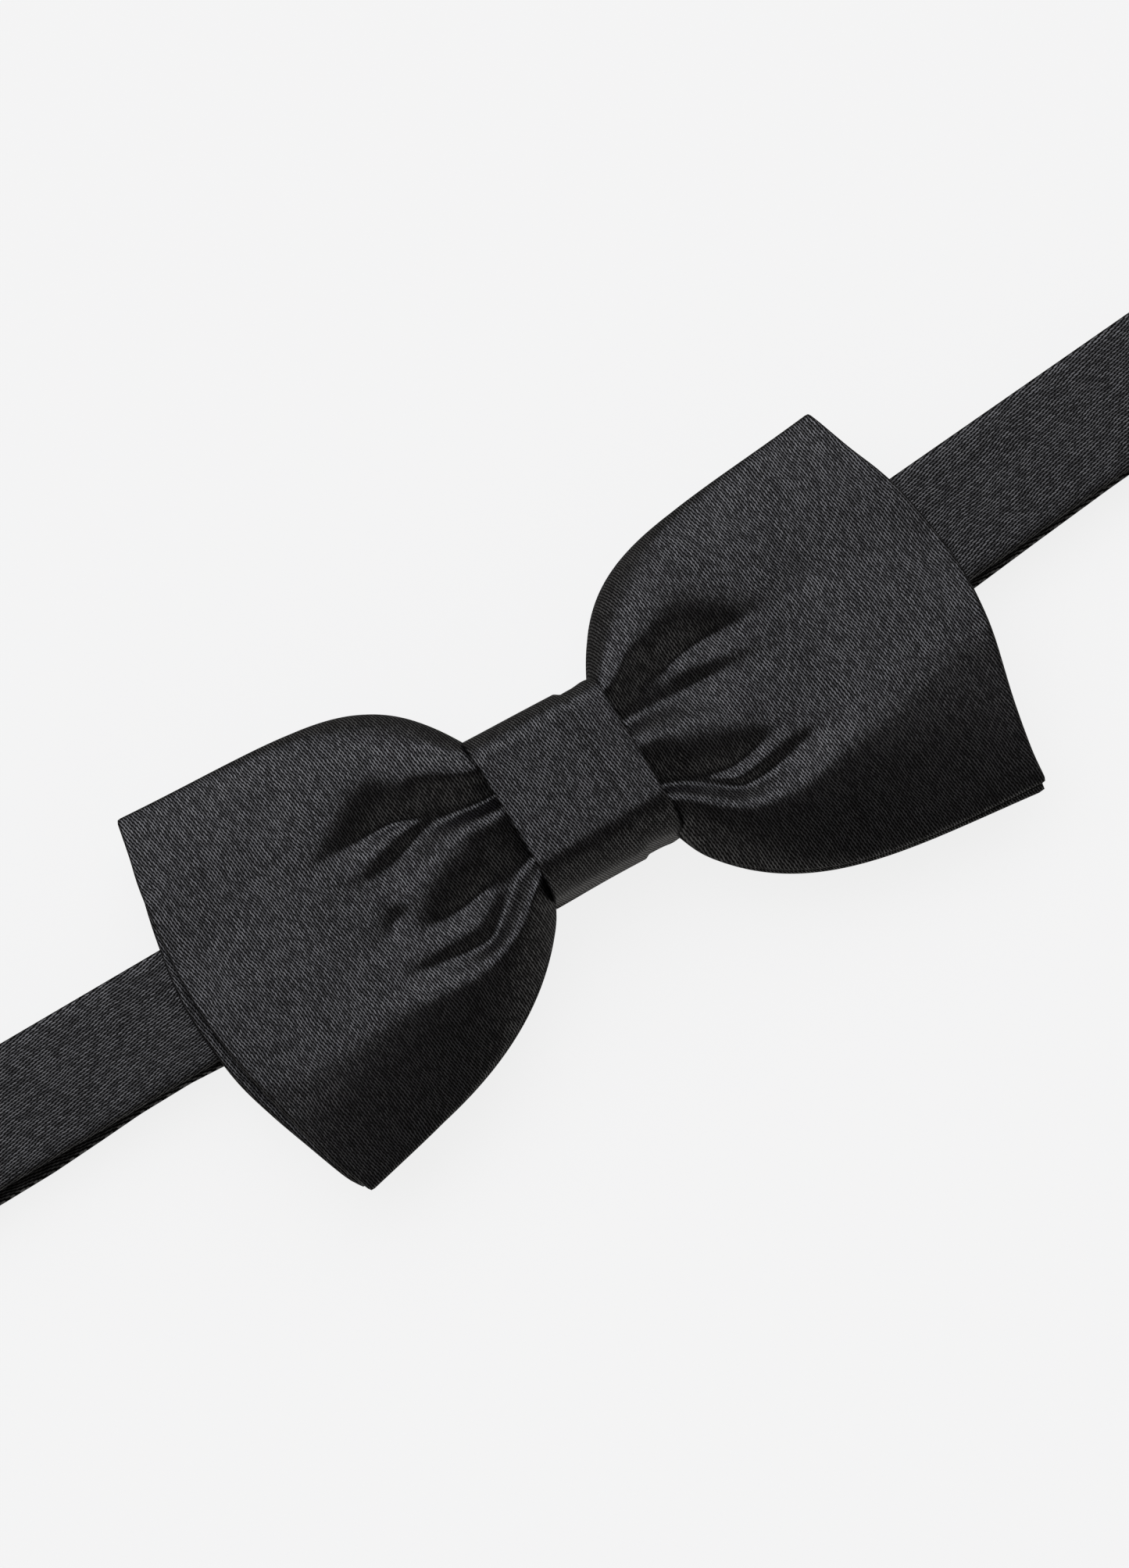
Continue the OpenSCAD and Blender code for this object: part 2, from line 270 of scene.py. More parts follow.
def satin(name):
    """Satin: each float a short bright dash in slanting rows, from its gloss and from a painted highlight in
    the base colour, with painted shade in the gaps between floats. The cloth map is in millimetres, and the
    floats run along v."""
    material, tree, shader = new_material(name)
    g = Graph(tree)
    uv = tree.nodes.new("ShaderNodeUVMap")
    uv.uv_map = "cloth"
    split = tree.nodes.new("ShaderNodeSeparateXYZ")
    tree.links.new(uv.outputs["UV"], split.inputs[0])
    # the rows wander a little over the cloth
    u = g.math("MULTIPLY_ADD", g.noise(uv.outputs["UV"], 0.12, 3.0), 1.2, split.outputs[0])
    v = g.math("MULTIPLY_ADD", g.noise(uv.outputs["UV"], 0.21, 3.0), 0.8, split.outputs[1])
    a = g.math("MULTIPLY_ADD", v, WEAVE_A[1], g.math("MULTIPLY", u, WEAVE_A[0]))
    b = g.math("MULTIPLY_ADD", v, WEAVE_B[1], g.math("MULTIPLY", u, WEAVE_B[0]))
    # each cell of the lattice holds one float; across and along are measured from its middle
    cell = g.combine(g.math("FLOOR", a), g.math("FLOOR", b))
    off_a = g.math("SUBTRACT", g.math("FRACT", a), 0.5)
    off_b = g.math("SUBTRACT", g.math("FRACT", b), 0.5)
    area = WEAVE_A[0] * WEAVE_B[1] - WEAVE_A[1] * WEAVE_B[0]
    across = g.math("MULTIPLY_ADD", off_b, -WEAVE_A[1] / area, g.math("MULTIPLY", off_a, WEAVE_B[1] / area))
    along = g.math("MULTIPLY_ADD", off_b, WEAVE_A[0] / area, g.math("MULTIPLY", off_a, -WEAVE_B[0] / area))
    chance = tree.nodes.new("ShaderNodeTexWhiteNoise")
    chance.noise_dimensions = "2D"
    tree.links.new(cell, chance.inputs["Vector"])
    lively = g.math("MULTIPLY_ADD", chance.outputs["Value"], 1.1, 0.52)
    # a float's crown: a long dome, highest along its middle
    off_crown = g.math("ADD", g.square(across, FLOAT_SIZE[0]), g.square(along, FLOAT_SIZE[1]))
    crown = g.math("MAXIMUM", g.math("SUBTRACT", 1.0, off_crown), 0.0)
    mottle = g.ramp(g.noise(uv.outputs["UV"], 0.45, 4.0), 0.3, 0.7, 0.94, 1.06)
    shine = g.math("MULTIPLY", g.math("MULTIPLY", g.ramp(crown, 0.05, 0.75), lively), mottle)
    # the base colour is painted: a painted highlight where a float's crown shines, painted shade in the gaps
    # between floats
    tree.links.new(g.mix_colour(shine, GAP_PAINTED_SHADE_COLOUR, FLOAT_PAINTED_HIGHLIGHT_COLOUR), shader.inputs["Base Color"])
    tree.links.new(g.math("MULTIPLY_ADD", shine, -0.05, SATIN_ROUGHNESS), shader.inputs["Roughness"])
    # threads hide each other at a grazing view, so the gloss fades there
    view = tree.nodes.new("ShaderNodeLayerWeight")
    view.inputs["Blend"].default_value = 0.5
    gloss = g.math("MULTIPLY", g.math("MULTIPLY_ADD", shine, 0.95, 0.03),
                   g.ramp(view.outputs["Facing"], 0.35, 0.95, 1.0, 0.12))
    tree.links.new(gloss, shader.inputs["Specular IOR Level"])
    bump = tree.nodes.new("ShaderNodeBump")
    bump.inputs["Strength"].default_value = 0.25
    bump.inputs["Distance"].default_value = 0.00005
    tree.links.new(crown, bump.inputs["Height"])
    tree.links.new(bump.outputs["Normal"], shader.inputs["Normal"])
    shader.inputs["IOR"].default_value = 1.6
    shader.inputs["Sheen Weight"].default_value = 0.02
    shader.inputs["Sheen Roughness"].default_value = 0.4
    shader.inputs["Anisotropic"].default_value = 0.6
    tangent = tree.nodes.new("ShaderNodeTangent")
    tangent.direction_type = "UV_MAP"
    tangent.uv_map = "cloth"
    tree.links.new(tangent.outputs["Tangent"], shader.inputs["Tangent"])
    return material


SATIN = satin("satin")


def dress(obj, material):
    """Gives an object one material."""
    obj.data.materials.clear()
    obj.data.materials.append(material)


# ---- wings ----

# Crests and hollows of the front ply, from the top of the wing down. Every line gives its y and z at these
# distances from the middle of the bow, and crest and hollow take turns.
FOLD_X_AT = (8, 12, 15, 18, 20, 23, 26, 30, 34, 40, 48, 61)
RIGHT_LINES = [
    ((10.2, 11.4, 13.6, 15, 16.1, 17.4, 17.9, 16.6, 15.1, 12.6, 9.6, 6.6),
     (15.9, 15.8, 15.4, 14.9, 14.6, 14, 13.2, 12.2, 11.8, 11.35, 11.15, 10.75)),
    ((7.7, 8.1, 9.3, 9.8, 10.3, 10.8, 10.8, 10.5, 10.3, 8.9, 7.4, 4.4),
     (13.8, 13.3, 12.6, 12, 11.6, 11.2, 11.2, 11.5, 11.6, 11.5, 11.25, 10.88)),
    ((7.4, 7.7, 8.3, 8.6, 8.8, 8.2, 7.5, 6.9, 6.9, 5.9, 4.9, 3.4),
     (13.6, 13.1, 12.45, 12, 12.15, 12, 11.85, 11.7, 11.65, 11.62, 11.37, 10.95)),
    ((6.3, 6.2, 6.2, 6.2, 6.2, 6.1, 5.9, 5.4, 4.9, 4.4, 3.4, 1.9),
     (13.2, 12.7, 12, 11.5, 11.3, 11.4, 11.6, 11.6, 11.7, 11.7, 11.45, 11.03)),
    ((2.5, 2.1, 1.1, 0.1, -0.7, -2.1, -3, -3, -2.8, -2.5, -1.5, -0.5),
     (15.1, 14.8, 14.3, 13.7, 13.3, 12.6, 11.95, 11.85, 11.9, 12.05, 11.75, 11.2)),
    ((-2.3, -3.6, -5.1, -6, -6.3, -5.9, -5.1, -4.9, -4.6, -4.6, -4.1, -2.6),
     (12.8, 12.5, 11.9, 11.3, 11.1, 11.3, 11.75, 11.8, 11.95, 12.15, 11.92, 11.35)),
    ((-2.6, -3.9, -5.4, -7.1, -8.1, -7.6, -6.9, -6.1, -6.1, -6.1, -5.6, -4.6),
     (12.6, 12.3, 11.95, 11.8, 11.9, 11.9, 11.85, 11.85, 12, 12.22, 12, 11.43)),
    ((-2.9, -4.3, -6, -8.1, -9.1, -9.3, -9, -8.3, -8.1, -8.1, -7.6, -6.6),
     (12.5, 12.1, 11.6, 11.1, 10.9, 10.9, 11.1, 11.5, 12.05, 12.3, 12.08, 11.5)),
    ((-4.7, -7, -9.5, -11.7, -12.6, -13.2, -13.3, -12.9, -12.1, -10.8, -8.9, -7.6),
     (13.9, 13.7, 13.3, 13, 12.8, 12.7, 12.6, 12.55, 12.45, 12.35, 12.1, 11.52)),
]
LEFT_LINES = [
    ((9.8, 11.1, 13.1, 14.6, 15.6, 18.1, 18.4, 16.1, 14.6, 12.6, 9.6, 6.6),
     (15.7, 15.6, 15.2, 14.8, 14.5, 13.9, 13.2, 12.15, 11.7, 11.3, 11.1, 10.7)),
    ((7.3, 7.6, 8.3, 9.1, 9.8, 10.8, 11, 11.2, 10.9, 9.4, 7.9, 4.9),
     (13.4, 13, 12.5, 11.9, 11.5, 10.9, 10.8, 11.3, 11.5, 11.4, 11.18, 10.78)),
    ((7, 7.2, 7.8, 8.6, 9.2, 9.2, 8.4, 7.5, 7.3, 6.4, 5.4, 3.9),
     (13.2, 12.8, 12.25, 11.85, 11.9, 11.9, 11.85, 11.7, 11.6, 11.5, 11.26, 10.83)),
    ((6.5, 6.7, 7.4, 7.9, 7.7, 6.7, 6, 5.7, 5.4, 4.7, 3.9, 2.4),
     (12.9, 12.5, 12, 11.5, 11.15, 10.9, 11.2, 11.55, 11.6, 11.57, 11.33, 10.9)),
    ((3.7, 3.9, 4, 3.6, 3, 1.7, 0.3, 0, -0.5, -1.5, -1.5, -0.5),
     (15.1, 14.8, 14.2, 13.6, 13.2, 12.6, 11.9, 11.75, 11.75, 11.85, 11.57, 11.05)),
    ((-2.1, -2.9, -3.2, -3.6, -3.9, -4.1, -3.9, -3.3, -3.6, -4.6, -4.6, -3.1),
     (12.6, 12.2, 11.6, 11.1, 10.9, 11.1, 11.55, 11.65, 11.78, 11.93, 11.66, 11.12)),
    ((-2.4, -3.2, -3.7, -5.5, -6.7, -7.4, -7.3, -6.7, -6.7, -7.1, -7.1, -5.1),
     (12.5, 12, 11.5, 11.65, 11.75, 11.85, 11.85, 11.8, 11.85, 11.98, 11.72, 11.18)),
    ((-2.8, -4.1, -6.1, -8.3, -9.7, -9.6, -9.2, -8.9, -8.9, -9.1, -9.1, -7.1),
     (12.4, 11.9, 11.2, 10.85, 10.7, 10.85, 11.2, 11.55, 11.9, 12.02, 11.76, 11.22)),
    ((-5.1, -7.6, -10.1, -11.5, -12.2, -12.9, -13.1, -12.6, -12.1, -12.1, -12.1, -10.1),
     (13.8, 13.6, 13.2, 12.95, 12.8, 12.65, 12.55, 12.45, 12.3, 12.05, 11.78, 11.24)),
]
# Shallow folds: x, y, depth, and how wide the fold is above and below its bottom line
RIGHT_CREASES = [
    [(36, 12.5, 0, 2.5, 2.5), (41, 11.0, 0.2, 2.5, 2.5), (47, 10.5, 0, 2.5, 2.5)],
]
LEFT_CREASES = [
    [(27, -0.4, 0, 1.5, 1.3), (29.3, -1.0, 0.45, 1.6, 1.4), (32, -2.4, 0.2, 1.6, 1.4), (35, -3, 0, 1.5, 1.5)],
    [(31, 23, 0, 3, 3), (36, 21, 0.3, 3.5, 3), (44, 17, 0, 3, 3)],
]


def through_lines(y, line_y, line_z):
    """Height at y on a smooth curve through one set of points per row; it turns only at the points."""
    step = np.diff(line_y, axis=1)
    rise = np.diff(line_z, axis=1) / step
    slope = np.zeros_like(line_y)
    below, above = rise[:, :-1], rise[:, 1:]
    with np.errstate(divide="ignore", invalid="ignore"):
        mean = 2 * below * above / (below + above)
    slope[:, 1:-1] = np.where(below * above > 0, mean, 0)
    slope[:, 0] = rise[:, 0] * 1.4 - slope[:, 1] * 0.4
    slope[:, -1] = rise[:, -1] * 1.4 - slope[:, -2] * 0.4
    # cloth rounds over its crests but meets in the hollows at an angle
    hollow = (below < 0) & (above > 0)
    leave, arrive = slope.copy(), slope.copy()
    leave[:, 1:-1] = np.where(hollow, above * 2.4, slope[:, 1:-1])
    arrive[:, 1:-1] = np.where(hollow, below * 0.8, slope[:, 1:-1])
    z = np.empty_like(y)
    for i in range(len(y)):
        k = np.clip(np.searchsorted(line_y[i], y[i]) - 1, 0, line_y.shape[1] - 2)
        h = step[i, k]
        t = np.clip((y[i] - line_y[i, k]) / h, 0, 1)
        z[i] = ((1 + 2 * t) * (1 - t) ** 2 * line_z[i, k] + t * (1 - t) ** 2 * h * leave[i, k]
                + t ** 2 * (3 - 2 * t) * line_z[i, k + 1] + t ** 2 * (t - 1) * h * arrive[i, k + 1])
    return z


def soften(z, y, spread):
    """z smoothed over about spread millimetres both ways; rims stay put."""
    step = np.abs(np.gradient(y, axis=1))
    rounds = 12
    share = np.clip(spread ** 2 / (2 * rounds * step ** 2), 0, 0.24)
    kept = z.copy()
    for _ in range(rounds):
        change = np.zeros_like(z)
        change[:, 1:-1] += share[:, 1:-1] * (z[:, 2:] - 2 * z[:, 1:-1] + z[:, :-2])
        change[1:-1] += 0.24 * (z[2:] - 2 * z[1:-1] + z[:-2])
        z = z + change
    z[:, 0], z[:, -1] = kept[:, 0], kept[:, -1]
    return z


def carve(x, y, folds):
    """How deep the folds lie below the cloth at x, y."""
    total = np.zeros_like(x)
    for fold in folds:
        line = curve_through(fold, 90)
        gap_x = x[..., None] - line[:, 0]
        gap_y = y[..., None] - line[:, 1]
        nearest = np.argmin(gap_x ** 2 + gap_y ** 2, axis=-1)
        at = line[nearest]
        tangent = np.gradient(line[:, :2], axis=0)
        tangent /= np.linalg.norm(tangent, axis=1, keepdims=True)
        t = tangent[nearest]
        side = -(x - at[..., 0]) * t[..., 1] + (y - at[..., 1]) * t[..., 0]
        past = (x - at[..., 0]) * t[..., 0] + (y - at[..., 1]) * t[..., 1]
        width = np.where(side > 0, at[..., 3], at[..., 4])
        total += at[..., 2] * np.exp(-(np.abs(side) / width) ** 1.6 - (past / 2.5) ** 2)
    return total


WING_START = 8.6  # where a wing's cloth begins, just inside the knot
MOUTH_X = 9       # where it comes out of the knot
FLARE_LENGTH = 44
# Rows between the outermost line and a rim: how far from the rim, and how much of the rise is done there
TOP_SHOULDER = ((0.07, 0.33), (0.3, 0.68), (0.62, 0.93))
BOTTOM_SHOULDER = ((0.75, 0.87), (0.4, 0.54), (0.07, 0.13))
FRONT_PLY, BACK_PLY = 1.0, 0.9  # thickness


class Wing:
    """Outline and height of one wing. Both are drawn as right wings; side -1 mirrors one to the left."""

    def __init__(self, side, lines, creases, top, bottom, edge):
        self.side = side
        self.lines = [curve_through(np.stack([FOLD_X_AT, y, z], axis=1), 150) for y, z in lines]
        self.creases = creases
        self.top_half, self.top_waist, self.top_run, self.top_flare = top
        self.bottom_half, self.bottom_waist, self.bottom_run = bottom
        self.edge = curve_through(edge, 200)

    def top(self, x):
        flared = self.top_half + self.top_flare * ((x - MOUTH_X) / FLARE_LENGTH) ** 2
        return flared * (1 - self.top_waist * np.exp(-(x - MOUTH_X) / self.top_run))

    def bottom(self, x):
        return -self.bottom_half * (1 - self.bottom_waist * np.exp(-(x - MOUTH_X) / self.bottom_run))

    def place(self, u, s):
        """x and y at shares u of the way out from the knot, 0 to 1, and s of the way up, -1 to 1."""
        low_x, low_y = self.edge[0]
        high_x, high_y = self.edge[-1]
        edge_y = low_y + (high_y - low_y) * (1 + s) / 2
        edge_x = np.interp(edge_y, self.edge[:, 1], self.edge[:, 0])
        line = WING_START + u * (low_x + (high_x - low_x) * (1 + s) / 2 - WING_START)
        low, high = self.bottom(line), self.top(line)
        low = low + (low_y - self.bottom(low_x)) * u ** 4
        high = high + (high_y - self.top(high_x)) * u ** 4
        x = WING_START + u * (edge_x - WING_START)
        # the lower side is drawn in where the knot grips it
        low = low * (1 - 0.2 * np.exp(-((line - WING_START) / 1.4) ** 2))
        return x, low + (high - low) * (1 + s) / 2

    def height(self, x, y):
        """Height of the front ply: rims, round shoulders, and the crests and hollows between them."""
        across = x.mean(axis=1)
        rim = 9.45 - 0.9 * np.exp(-(across - MOUTH_X) / 12)
        top, bottom = y[:, -1], y[:, 0]
        line_y = [np.interp(across, line[:, 0], line[:, 1]) for line in self.lines]
        line_z = [np.interp(across, line[:, 0], line[:, 2]) for line in self.lines]
        rows = [(top, rim)]
        for share, lift in TOP_SHOULDER:
            rows.append((top + (line_y[0] - top) * share, rim + (line_z[0] - rim) * lift))
        rows += list(zip(line_y, line_z))
        for share, lift in BOTTOM_SHOULDER:
            rows.append((bottom + (line_y[-1] - bottom) * share, rim + (line_z[-1] - rim) * lift))
        rows.append((bottom, rim))
        for k in range(1, len(rows)):
            rows[k] = (np.minimum(rows[k][0], rows[k - 1][0] - 0.25), rows[k][1])
        rows.reverse()
        row_y, row_z = (np.stack(part, axis=1) for part in zip(*rows))
        return soften(through_lines(y, row_y, row_z), y, 0.45)

    def front(self, name, rows=230, cols=220):
        """The front ply, with its folds and a slow wander over the flat cloth."""
        u, s = np.meshgrid(np.linspace(0, 1, rows), np.linspace(-1, 1, cols), indexing="ij")
        s = np.sin(s * math.pi / 2) * 0.35 + s * 0.65
        x, y = self.place(u, s)
        z = self.height(x, y) - carve(x, y, self.creases)
        z += 0.10 * np.sin(x * 0.21 + y * 0.13) * np.sin(y * 0.19 - x * 0.05 + 1.0) * smooth(u, 0.2, 0.6)
        grid = np.stack([x * self.side, y, z], axis=2)
        return shell(name, grid, FRONT_PLY, grid[..., :2])

    def back(self, name, rows=90, cols=80):
        """The flat back ply, drawn in where it enters the knot."""
        u, s = np.meshgrid(np.linspace(0, 1, rows), np.linspace(-1, 1, cols), indexing="ij")
        x, y = self.place(u, s)
        y = y * (1 - 0.14 * np.exp(-(x - WING_START) / 3))
        z = back_high[2] + 0.30 + 0.04 * np.sin(x * 0.3) * np.sin(y * 0.25)
        grid = np.stack([x * self.side, y, z], axis=2)
        return shell(name, grid, BACK_PLY, grid[..., :2])


# Outer edges of the front and the back plies, from the lower corner up
RIGHT_EDGE = [
    (55.1, -29.1), (55.6, -24.6), (57.0, -17.7), (59.2, -9.1), (60.1, -3.4), (60.4, 1.3), (60.2, 6.0),
    (59.1, 13.6), (57.9, 18.3), (56.0, 23.6), (54.0, 30.1)]
RIGHT_BACK_EDGE = [
    (54.6, -29.8), (55.2, -24.6), (56.6, -17.7), (58.8, -9.1), (59.7, -3.4), (60.0, 1.3), (59.8, 6.0),
    (58.7, 13.6), (57.5, 18.3), (55.6, 23.6), (53.6, 29.5)]
LEFT_EDGE = [
    (50.9, -30.0), (53.0, -25.0), (54.6, -19.6), (56.4, -12.0), (57.8, -4.0), (58.2, 3.5), (57.9, 10.0),
    (57.1, 17.0), (56.4, 21.3), (55.4, 25.3), (54.3, 30.3)]
LEFT_BACK_EDGE = [
    (51.5, -28.8), (52.8, -26.4), (54.9, -20.4), (56.9, -14.4), (58.5, -8.4), (59.2, -2.2), (59.4, 3.5),
    (59.0, 8.2), (58.0, 13.8), (56.9, 18.5), (55.4, 23.5), (53.8, 29.2)]
# Of the upper side: half height, share of it drawn in at the knot, how far along that lasts, and flare.
# Then the first three of the lower side.
RIGHT_CURVES = (28.6, 0.53, 7.4, 1.0), (29.0, 0.59, 12.0)
LEFT_CURVES = (29.3, 0.49, 6.8, 0.4), (30.2, 0.69, 16.0)
right = Wing(1, RIGHT_LINES, RIGHT_CREASES, *RIGHT_CURVES, RIGHT_EDGE)
left = Wing(-1, LEFT_LINES, LEFT_CREASES, *LEFT_CURVES, LEFT_EDGE)
right_under = Wing(1, [], [], *RIGHT_CURVES, RIGHT_BACK_EDGE)
left_under = Wing(-1, [], [], *LEFT_CURVES, LEFT_BACK_EDGE)

right_front = right.front("right_wing_front")
left_front = left.front("left_wing_front")
right_back = right_under.back("right_wing_back")
left_back = left_under.back("left_wing_back")


# ---- knot ----

def knot_profile(top_r=4.8, bottom_r=5.8, back_r=1.5, steps=14):
    """Closed outline of the knot in Y and Z, from the back seam round."""
    y0, y1 = knot_low[1], knot_high[1]
    z0, z1 = knot_low[2], knot_high[2]
    corners = [
        (y0 + back_r, z0 + back_r, back_r, 270, 180),
        (y0 + bottom_r, z1 - bottom_r, bottom_r, 180, 90),
        (y1 - top_r, z1 - top_r, top_r, 90, 0),
        (y1 - back_r, z0 + back_r, back_r, 0, -90),
    ]
    points = []
    for cy, cz, r, a0, a1 in corners:
        for k in range(steps + 1):
            a = math.radians(a0 + (a1 - a0) * k / steps)
            points.append((cy + r * math.cos(a), cz + r * math.sin(a)))
    return np.array(points)


def resample(points, count):
    """count points evenly spaced round a closed outline, and their distances along it."""
    line = np.vstack([points, points[:1]])
    length = np.concatenate([[0], np.cumsum(np.linalg.norm(np.diff(line, axis=0), axis=1))])
    at = np.linspace(0, length[-1], count, endpoint=False)
    return np.stack([np.interp(at, length, line[:, i]) for i in range(2)], axis=1), at


def knot_band(name, around=300, across=90):
    """The band wrapped round the waist: a closed loop with turned edges and one lengthwise fold."""
    outline, distance = resample(knot_profile(), around)
    tangent = np.roll(outline, -1, axis=0) - np.roll(outline, 1, axis=0)
    tangent /= np.linalg.norm(tangent, axis=1, keepdims=True)
    normal = np.stack([-tangent[:, 1], tangent[:, 0]], axis=1)
    if np.sum(normal * (outline - outline.mean(axis=0))) < 0:
        normal = -normal
    wall = 0.8
    # across the band: outer side, a turned edge, inner side, and the other turned edge
    t = np.linspace(-1, 1, across)
    outer = np.stack([t * (KNOT_HALF - wall / 2), np.zeros(across)], axis=1)
    turn = np.linspace(90, -90, 10)[1:-1]
    right_edge = np.stack([KNOT_HALF - wall / 2 + wall / 2 * np.cos(np.radians(turn)),
                           -wall / 2 + wall / 2 * np.sin(np.radians(turn))], axis=1)
    inner = np.stack([-t * (KNOT_HALF - wall / 2), np.full(across, -wall)], axis=1)
    left_edge = -right_edge - [0, wall]
    section = np.vstack([outer, right_edge, inner, left_edge])
    x = section[:, 0][None, :]
    facing = normal[:, 1][:, None]
    upward = normal[:, 0][:, None]
    # a lengthwise fold near the right edge, deeper on the rolls than on the face
    fold = smooth(x, 4.0, 5.0) * (0.10 + 0.42 * np.abs(upward) ** 2)
    lip = 0.25 * np.exp(-((x - 8.3) / 1.2) ** 2) * np.abs(upward) ** 2
    # the top and the bottom roll slant a little from left to right
    slant = ((-0.15 - 0.05 * (x + 10)) * np.clip(upward, 0, 1) ** 2
             + (0.045 * (x + 10) - 0.95) * np.clip(-upward, 0, 1) ** 2)
    crease = 0.10 * np.exp(-((x - 5.0) / 0.25) ** 2)
    drawn = 0.12 * np.cos(x / KNOT_HALF * math.pi) * facing
    offset = section[:, 1][None, :] - fold + lip + slant - crease * np.clip(facing, 0, 1) + drawn * 0.6
    y = outline[:, 0][:, None] + normal[:, 0][:, None] * offset
    z = outline[:, 1][:, None] + normal[:, 1][:, None] * offset
    xs = np.broadcast_to(x, y.shape)
    points = np.stack([xs, y, z], axis=2).reshape(-1, 3)
    cols = len(section)
    faces = grid_faces(around, cols, wrap=True)
    for j in range(cols):
        a = (around - 1) * cols + j
        b = (around - 1) * cols + (j + 1) % cols
        faces.append((a, b, (j + 1) % cols, j))
    uv = np.stack([xs, np.broadcast_to(distance[:, None], y.shape)], axis=2).reshape(-1, 2)
    return make_mesh(name, points, faces, uv)


knot = knot_band("knot_band")


# ---- neckband ----

BEND = math.radians(4)
BEND_X = 10
BEND_R = BEND_X / math.tan(BEND / 2)


def lie(side, x, y, rear):
    """Where a point of the neckband lies: x along it from the middle, y across it. The right half turns up;
    its front run bends near the knot, its rear run is straight."""
    if side < 0:
        return -x, BAND_Y + y
    if rear:
        return (BEND_X + (x - BEND_X) * math.cos(BEND) - y * math.sin(BEND),
                BAND_Y + (x - BEND_X) * math.sin(BEND) + y * math.cos(BEND))
    a = BEND * np.clip(x / (2 * BEND_X), 0, 1)
    past = np.maximum(x - 2 * BEND_X, 0)
    return ((BEND_R - y) * np.sin(a) + past * np.cos(a),
            BAND_Y + BEND_R - (BEND_R - y) * np.cos(a) + past * np.sin(a))


def band_path(inner_end):
    """Middle line of half the neckband: out along the front run, round the fold, back to inner_end."""
    r = FOLD_Z - BAND_T / 2
    turn = np.linspace(0, math.pi, 16)[1:-1]
    points = [(x, FOLD_Z + r) for x in np.linspace(0, FOLD_X, 60)]
    points += [(FOLD_X + r * math.sin(a), FOLD_Z + r * math.cos(a)) for a in turn]
    points += [(x, FOLD_Z - r) for x in np.linspace(FOLD_X, inner_end, 50)]
    return np.array(points)


# How far each run of the neckband lies off its middle line: distance along the band, shift across it.
# The edges of the two runs show beside each other, as the loop is not folded quite square.
REAR_SHIFT = {-1: [(56, 0), (64, 0.5), (72, 0.4), (78, 0.0), (86, -0.45), (95, -0.55), (100, 0)],
              1: [(30, 0), (60, 0.35), (72, 0.75), (85, 1.1), (100, 1.2)]}
FRONT_SHIFT = {-1: [(0, 0), (60, 0.25), (84, 0.35), (100, 0.3)],
               1: [(0, 0), (28, 0), (58, 1.05), (100, 1.2)]}
# The front run's width, as a share more than the rear run's, and how much less it is inside the knot
FRONT_EXTRA = {-1: 0.0, 1: 0.035}
KNOT_SQUEEZE = {-1: 0.1, 1: 0.145}


def front_share(z):
    """1 on the front run, 0 on the rear run, and between them round the fold."""
    return smooth(z, 0.5, FOLD_Z * 2 - 0.5)


def drift(side, x, z):
    """Sideways shift of the band at x along it; z tells the front run from the rear one."""
    rear_x, rear_y = np.array(REAR_SHIFT[side], float).T
    front_x, front_y = np.array(FRONT_SHIFT[side], float).T
    front = front_share(z)
    return (1 - front) * np.interp(x, rear_x, rear_y) + front * np.interp(x, front_x, front_y)


def ribbon(name, path, side, thickness=BAND_T, edge_steps=5, across=12):
    """A length of band: path is its middle line as (distance along X, Z); it follows the band's bend in Y."""
    tangent = np.gradient(path, axis=0)
    tangent /= np.linalg.norm(tangent, axis=1, keepdims=True)
    normal = np.stack([tangent[:, 1] * -1, tangent[:, 0]], axis=1)
    length = np.concatenate([[0], np.cumsum(np.linalg.norm(np.diff(path, axis=0), axis=1))])
    half, r = BAND_W / 2, BAND_T / 2
    turn = np.linspace(math.pi / 2, -math.pi / 2, edge_steps + 2)[1:-1]
    section = [(y, r * (1.0 + 0.06 * math.cos(y / half * math.pi / 2)))
               for y in np.linspace(-half + r, half - r, across)]
    section += [(half - r + r * math.cos(a), r * math.sin(a)) for a in turn]
    section += [(-y, -z) for y, z in section[:across]]
    section += [(-half + r - r * math.cos(a), -r * math.sin(a)) for a in turn]
    section = np.array(section)
    cols = len(section)
    points, uvs = [], []
    shares = np.broadcast_to(thickness, len(path)) / BAND_T
    for (x, z), n, d, share in zip(path, normal, length, shares):
        # the front run is squeezed a little where it goes through the knot
        squeeze = 1 + front_share(z) * (FRONT_EXTRA[side] - KNOT_SQUEEZE[side] * (1 - smooth(x, 26, 46)))
        px, py = lie(side, x + n[0] * section[:, 1] * share,
                     section[:, 0] * squeeze + drift(side, x, z), z < FOLD_Z)
        pz = z + n[1] * section[:, 1] * share
        points += list(np.stack([px, py, pz], axis=1))
        uvs += [(-y - z2 * 0.5, d * side) for y, z2 in section]
    faces = grid_faces(len(path), cols, wrap=True)
    faces.append(tuple(range(cols)))
    faces.append(tuple((len(path) - 1) * cols + j for j in reversed(range(cols))))
    return make_mesh(name, points, faces, uvs)


def bar_turn(x, z, radius, outwards, steps=15):
    """Half a turn round a bar whose middle is at x, z, from under it to over it."""
    a = np.linspace(-math.pi / 2, math.pi / 2, steps)
    return np.stack([x + outwards * radius * np.cos(a), z + radius * np.sin(a)], axis=1)


def straight(x0, x1, z, steps):
    """A level stretch of path."""
    return np.stack([np.linspace(x0, x1, steps), np.full(steps, z)], axis=1)


LOW = BAND_T / 2  # middle of the band where it lies on the floor
RING_X, HOOK_X, BAR_Z, BAR_TURN = 48.0, -30.0, 1.9, 1.4
SLACK_END, LOOP_END, STRAP_END = 16.5, -26.0, 56.0
ADJUSTER_BAR_X, RETURN_END = -13.1, -16.0
left_inner = -rear_high[0]
left_half = ribbon("neckband_left", band_path(left_inner), -1)
right_half = ribbon("neckband_right", band_path(SLACK_END), 1)

